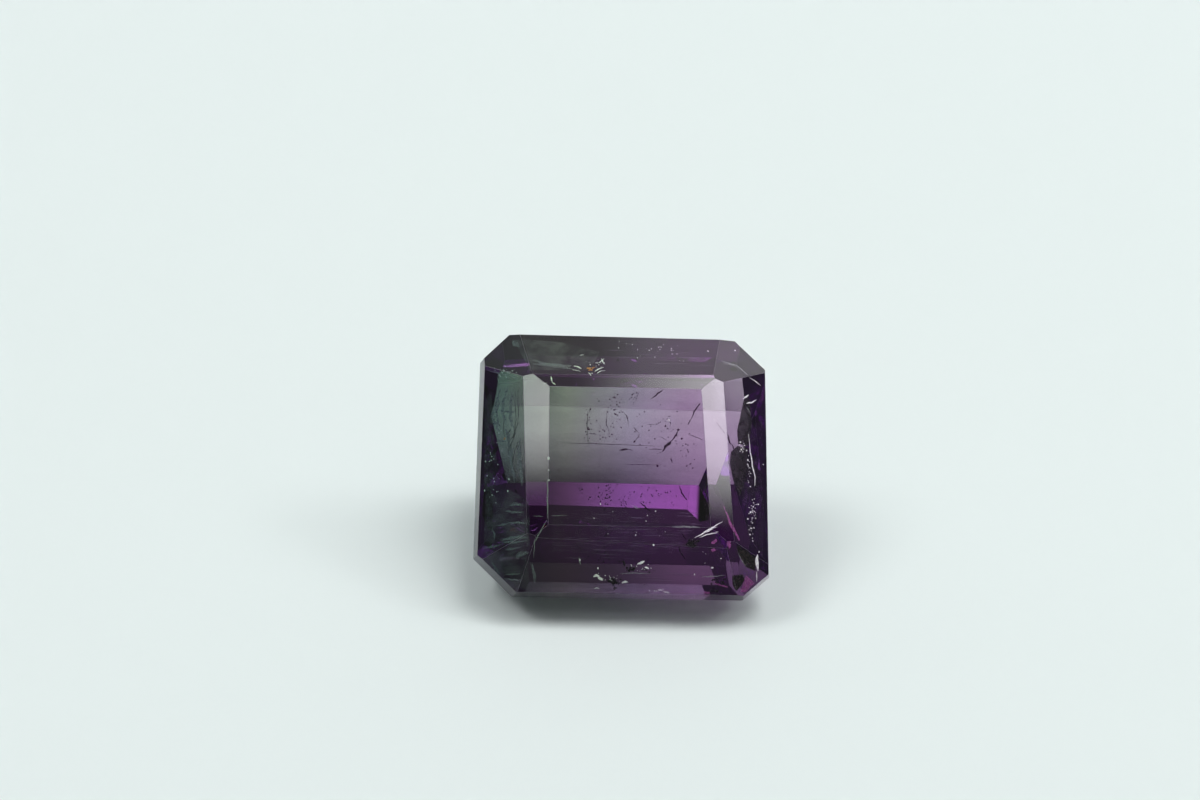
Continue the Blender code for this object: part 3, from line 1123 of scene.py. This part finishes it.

# %% [markdown]
# ### Threads at the corners
# Fine pale threads cross the two far corners, and a few more lie over the dark front. Two more,
# just under the left step's edge, are a painted highlight: the line of light along that worn edge.

# %% Pale threads
PALE_THREADS_AND_EDGE_HIGHLIGHT = {
    "left_corner": (
        (0.25, 0.050),
        [(488.0, 370.6), (498.0, 373.0), (508.0, 376.0), (521.0, 380.0), (535.0, 379.0)],
    ),
    "left_corner_b": ((0.30, 0.045), [(500.0, 369.0), (507.0, 373.6), (514.0, 376.0), (520.0, 378.0)]),
    "left_corner_c": ((0.30, 0.040), [(498.0, 384.0), (505.0, 383.0), (512.0, 383.4), (520.0, 382.0)]),
    "left_corner_d": ((0.30, 0.035), [(511.0, 372.0), (508.0, 378.0), (508.6, 383.0)]),
    "left_corner_e": ((0.30, 0.040), [(503.0, 379.0), (510.0, 377.6), (518.0, 374.6)]),
    "left_fan_a": ((0.30, 0.045), [(499.0, 372.0), (497.6, 378.0), (499.0, 384.0)]),
    "right_corner_a": ((0.20, 0.050), [(721.0, 360.6), (729.0, 363.0), (736.7, 365.2), (747.8, 376.0)]),
    "right_corner_b": ((0.20, 0.045), [(736.0, 365.0), (741.0, 369.0), (748.6, 375.4)]),
    "right_corner_c": ((0.20, 0.030), [(722.0, 363.0), (732.0, 365.0), (740.0, 369.4)]),
    "right_corner_d": ((0.25, 0.040), [(745.6, 407.0), (748.0, 409.0), (750.4, 413.6)]),
    "dark_front_a": ((0.25, 0.035), [(551.0, 515.6), (558.0, 515.8), (567.0, 515.6)]),
    "dark_front_b": ((0.25, 0.030), [(533.0, 516.4), (538.0, 516.0), (543.0, 516.4)]),
    "under_band_a": ((0.25, 0.035), [(631.0, 505.0), (634.6, 506.4), (638.6, 507.4)]),
    "under_band_b": ((0.25, 0.030), [(633.6, 507.0), (636.0, 508.0), (639.6, 508.4)]),
    "front_left_a": ((0.20, 0.050), [(504.0, 575.4), (512.0, 574.0), (520.0, 573.6)]),
    "front_left_b": ((0.20, 0.055), [(503.6, 578.8), (512.0, 579.6), (521.0, 580.0)]),
    "low_level_a": ((0.25, 0.040), [(701.0, 576.8), (712.0, 576.4), (725.6, 575.2)]),
    "low_level_b": ((0.25, 0.035), [(620.0, 573.6), (634.0, 573.0), (651.0, 573.6)]),
    "low_level_c": ((0.25, 0.035), [(700.0, 528.0), (690.0, 526.6), (672.0, 527.0)]),
    "facet_seam": ((0.20, 0.040), [(738.0, 553.0), (741.6, 560.0), (746.4, 567.0)]),
    # Painted highlight: the light caught along the worn edge of the left step
    "left_step_edge_painted_highlight": ((0.05, 0.050), [(547.6, 476.0), (547.5, 498.0), (547.2, 519.0)]),
    "left_step_foot_painted_highlight": ((0.05, 0.050), [(547.0, 520.0), (540.0, 532.0), (534.6, 542.0), (533.8, 558.0)]),
    "speckled_post": ((0.25, 0.060), [(579.0, 556.6), (579.8, 560.4), (580.4, 564.6)]),
}
PALE_WANDER = 0.014

join_pieces(draw_threads(PALE_THREADS_AND_EDGE_HIGHLIGHT, PALE_WANDER, chance), "pale_threads_and_edge_highlight", pale_thread_and_edge_highlight_finish)

# %% [markdown]
# ### Veils at the blue end
# At the blue end lie thin veils of fluid, like brush strokes: upright and bent in the upper half,
# level and short in the lower half.

# %% Blue veils
BLUE_VEILS = {
    "stroke_a": ((0.5, 0.20), [(500.0, 388.0), (496.6, 402.0), (495.4, 412.0), (499.0, 426.0)]),
    "stroke_b": ((0.5, 0.22), [(507.0, 386.0), (503.0, 400.0), (503.0, 412.0), (507.0, 424.0)]),
    "stroke_c": ((0.6, 0.20), [(513.0, 390.0), (511.0, 404.0), (511.0, 418.0), (512.4, 428.0)]),
    "stroke_d": ((0.5, 0.16), [(494.0, 406.0), (492.4, 416.0), (495.0, 426.0), (499.4, 432.0)]),
    "stroke_e": ((0.5, 0.20), [(506.0, 428.0), (509.0, 436.0), (508.6, 446.0), (510.0, 456.0)]),
    "stroke_f": ((0.5, 0.26), [(512.0, 446.0), (510.6, 458.0), (512.0, 470.0), (515.0, 482.0)]),
    "stroke_g": ((0.6, 0.26), [(519.0, 440.0), (519.4, 455.0), (519.0, 470.0), (520.6, 484.0)]),
    "stroke_h": ((0.5, 0.12), [(499.0, 410.0), (507.0, 411.4), (514.6, 412.0)]),
    "stroke_i": ((0.4, 0.14), [(497.0, 440.6), (501.0, 441.0), (504.6, 440.4)]),
    "stroke_j": ((0.4, 0.10), [(491.0, 421.6), (496.0, 423.0), (500.6, 426.4)]),
    "level_a": ((0.4, 0.11), [(497.4, 525.2), (502.6, 524.4), (508.0, 523.8)]),
    "level_b": ((0.4, 0.14), [(508.0, 524.0), (517.0, 521.6), (525.6, 523.4)]),
    "level_c": ((0.4, 0.17), [(501.0, 539.6), (512.0, 538.6), (527.0, 536.2)]),
    "level_d": ((0.4, 0.12), [(502.0, 542.6), (512.0, 542.2), (526.0, 539.6)]),
    "level_e": ((0.4, 0.10), [(505.0, 512.0), (512.0, 511.6), (524.0, 512.4)]),
    "level_f": ((0.4, 0.14), [(505.0, 549.6), (512.0, 548.6), (520.0, 546.6)]),
    "level_g": ((0.4, 0.22), [(516.0, 558.0), (521.0, 554.0), (528.0, 551.4)]),
    "level_h": ((0.4, 0.12), [(509.0, 505.0), (515.0, 504.0), (524.0, 504.6)]),
    "level_i": ((0.4, 0.09), [(492.0, 528.0), (494.6, 534.0), (493.6, 541.0)]),
    "level_j": ((0.4, 0.12), [(484.0, 548.0), (492.0, 547.0), (501.0, 545.0)]),
    "corner_stroke": ((0.4, 0.14), [(491.0, 562.0), (495.0, 569.0), (500.0, 575.0)]),
    "front_stroke": ((0.4, 0.16), [(531.0, 562.0), (533.6, 572.0), (534.6, 584.0)]),
    "top_patch": ((0.4, 0.22), [(513.0, 341.0), (515.0, 344.0), (518.6, 345.0)]),
    "top_haze": ((0.5, 0.30), [(534.0, 362.0), (550.0, 366.0), (572.0, 367.0)]),
}
STRANDS = 3
STRAND_GAP = 0.1
STRAND_WANDER = 0.02

veils = []
for (depth, width), pixels in BLUE_VEILS.values():
    spread = width * PIXELS_PER_MM / STRANDS
    for strand in range(STRANDS):
        moved = []
        for x, y in pixels:
            to_right = chance.uniform(-spread, spread)
            moved.append((x + to_right, y + chance.uniform(-spread, spread)))
        path = wandering_path(moved, depth + STRAND_GAP * strand, THREAD_STEPS, STRAND_WANDER, chance)
        veils.append(draw_thread(path, width / 2))
join_pieces(veils, "blue_veils", veil_finish)

# %% [markdown]
# Behind the strokes the crystal is cloudy: broad, thin sheets of the same fluid, so sparse that
# only patches of them show. They keep the dark corners from looking like coloured glass.

# %% Cloudy sheets
CLOUD_DEPTH = 0.7
FILM_THICKNESS = 0.006
BLUE_SEED = 40
VIOLET_SEED = 50
CLOUDY_SHEETS = {
    "left_low": [
        (486.0, 486.0), (500.0, 484.0), (529.0, 500.0), (530.0, 548.0), (524.0, 580.0), (500.0, 572.0),
        (484.0, 552.0),
    ],
    "left_edge": [
        (485.0, 400.0), (492.0, 390.0), (493.0, 430.0), (498.0, 470.0), (498.0, 488.0), (484.0, 490.0),
    ],
    "top_left": [(514.0, 340.0), (560.0, 342.0), (600.0, 352.0), (590.0, 370.0), (532.0, 370.0)],
    "front_left": [(492.0, 566.0), (505.0, 583.0), (518.0, 592.0), (530.0, 590.0), (528.0, 566.0)],
}
VIOLET_SHEETS = {
    "front": [(552.0, 512.0), (600.0, 508.0), (690.0, 514.0), (700.0, 552.0), (620.0, 556.0), (552.0, 552.0)],
    "right_dark": [
        (744.0, 430.0), (762.0, 420.0), (764.0, 520.0), (762.0, 560.0), (750.0, 548.0), (742.0, 500.0),
    ],
    "right_front": [(704.0, 500.0), (722.0, 506.0), (738.0, 545.0), (732.0, 574.0), (708.0, 556.0)],
}

blue_clouds = draw_plates(CLOUDY_SHEETS, CLOUD_DEPTH, FILM_THICKNESS, BLUE_SEED)
join_pieces(blue_clouds, "blue_clouds", cloud_finish)
violet_clouds = draw_plates(VIOLET_SHEETS, CLOUD_DEPTH, FILM_THICKNESS, VIOLET_SEED)
join_pieces(violet_clouds, "violet_clouds", violet_cloud_finish)

# %% [markdown]
# ### Growth lines
# The crystal grew along its length, and fine level lines of that growth show in the dark front.

# %% Growth lines
# Each is the middle, the spread in pixels and how many
GROWTH_FIELDS = [
    ((640.0, 532.0), (60.0, 20.0), 34),
    ((600.0, 545.0), (50.0, 14.0), 16),
    ((660.0, 358.0), (50.0, 10.0), 12),
    ((630.0, 578.0), (60.0, 8.0), 10),
]
LINE_LENGTHS = (10.0, 34.0)
LINE_FALL = 0.03
LINE_DEPTHS = (0.2, 0.8)
LINE_WIDTHS = (0.015, 0.040)
LINE_STEPS = 4
LINE_WANDER = 0.006

lines = []
for (x, y), (wide, high), count in GROWTH_FIELDS:
    for _ in range(count):
        middle = x + chance.uniform(-wide, wide)
        level = y + chance.uniform(-high, high)
        length = chance.uniform(*LINE_LENGTHS)
        ends = [(middle - length / 2, level), (middle + length / 2, level + length * LINE_FALL)]
        path = wandering_path(ends, chance.uniform(*LINE_DEPTHS), LINE_STEPS, LINE_WANDER, chance)
        lines.append(draw_thread(path, chance.uniform(*LINE_WIDTHS)))
join_pieces(lines, "growth_lines", growth_finish)

# %% [markdown]
# ### The rusty grain, the dark cracks and the violet flashes
# One grain under the back of the crown has rusted and lies in a cluster of small stained flakes.
# Near the front a few open cracks look brown or black, and at the violet end some turn back the
# light so well that they flash pink: that flash is a painted reflection, pink plates that glow. The
# two dark sheets at that end stand in for a dark reflection that covers a pale patch in the
# photograph.

# %% The rusty grain
RUST_AT = (590.2, 368.8)
RUST_DEPTH = 0.3
# Each is (to the right, down, width) in pixels
RUST_SPOTS = [
    (0.0, 0.0, 3.6), (-2.4, -0.6, 2.6), (2.6, -1.0, 2.6),
    (4.6, -1.4, 1.6), (-1.0, 1.6, 2.2), (1.4, 1.2, 2.4),
]
LOOSE_RUST_AT = (504.6, 438.6)
LOOSE_RUST_WIDTH = 2.4

rust = []
for right, down, width in RUST_SPOTS:
    pixel = (RUST_AT[0] + right, RUST_AT[1] + down)
    rust.append(pixel_flake(pixel, width, RUST_DEPTH, chance))
rust.append(pixel_speck(LOOSE_RUST_AT, LOOSE_RUST_WIDTH, RUST_DEPTH, chance))
join_pieces(rust, "rusty_grain", rust_finish)

# %% Dark cracks and dark sheets
CRACK_DEPTH = 0.35
CRACK_SEED = 0
DARK_SHEET_SEED = 60
BROWN_CRACKS = {
    "facet_patch": [
        (736.7, 545.6), (745.6, 550.0), (755.0, 558.0), (755.6, 571.0), (745.6, 566.7), (737.8, 553.3),
    ],
    "front_patch": [(732.4, 575.4), (742.6, 574.6), (744.6, 580.0), (737.0, 590.6), (732.8, 585.6)],
}
dark_cracks = draw_plates(BROWN_CRACKS, CRACK_DEPTH, FILM_THICKNESS, CRACK_SEED)
join_pieces(dark_cracks, "dark_cracks", brown_finish)

DARK_SHEETS = {
    "right_upper": [
        (744.6, 396.0), (750.0, 400.0), (752.0, 424.0), (748.0, 446.0), (738.0, 444.0), (737.0, 430.0),
        (741.0, 412.0),
    ],
    "right_lower": [
        (737.4, 446.0), (748.0, 448.0), (746.0, 480.0), (740.0, 496.0), (733.0, 480.0), (729.6, 462.0),
        (731.0, 452.0),
    ],
}
dark_sheets = draw_plates(DARK_SHEETS, CLOUD_DEPTH, FILM_THICKNESS, DARK_SHEET_SEED)
join_pieces(dark_sheets, "dark_sheets", shade_finish)

# %% Violet flashes
FLASH_DEPTH = 0.25
FLASH_THICKNESS = 0.02
FLASH_SEED = 20
VIOLET_FLASHES = {
    "spot_a": [(727.4, 541.4), (730.4, 541.0), (731.0, 546.0), (729.4, 548.6), (727.2, 545.6)],
    "spot_b": [(711.6, 541.4), (716.0, 538.8), (717.4, 541.0), (713.8, 544.0), (711.4, 543.6)],
    "spot_c": [(710.8, 549.4), (714.6, 548.2), (716.0, 550.4), (712.6, 552.0)],
    "corner_facet": [(746.0, 575.4), (754.6, 583.0), (745.6, 592.0), (740.4, 592.0), (742.4, 585.6)],
    "edge_spot": [(703.6, 595.0), (709.4, 595.2), (709.8, 596.4), (704.0, 596.2)],
    "long_streak": [
        (723.0, 504.0), (727.0, 513.0), (733.0, 526.0), (740.0, 540.0), (738.6, 540.6), (729.4, 525.0),
    ],
    "jagged_line": [(715.0, 582.6), (728.0, 586.4), (727.4, 587.6), (714.6, 584.0)],
}
violet_flashes = draw_plates(VIOLET_FLASHES, FLASH_DEPTH, FLASH_THICKNESS, FLASH_SEED)
join_pieces(violet_flashes, "violet_flashes", violet_painted_flash_finish)

# %% The masters go
start_fresh()
for master in (grain_master, flake_master):
    bpy.data.objects.remove(master, do_unlink=True)
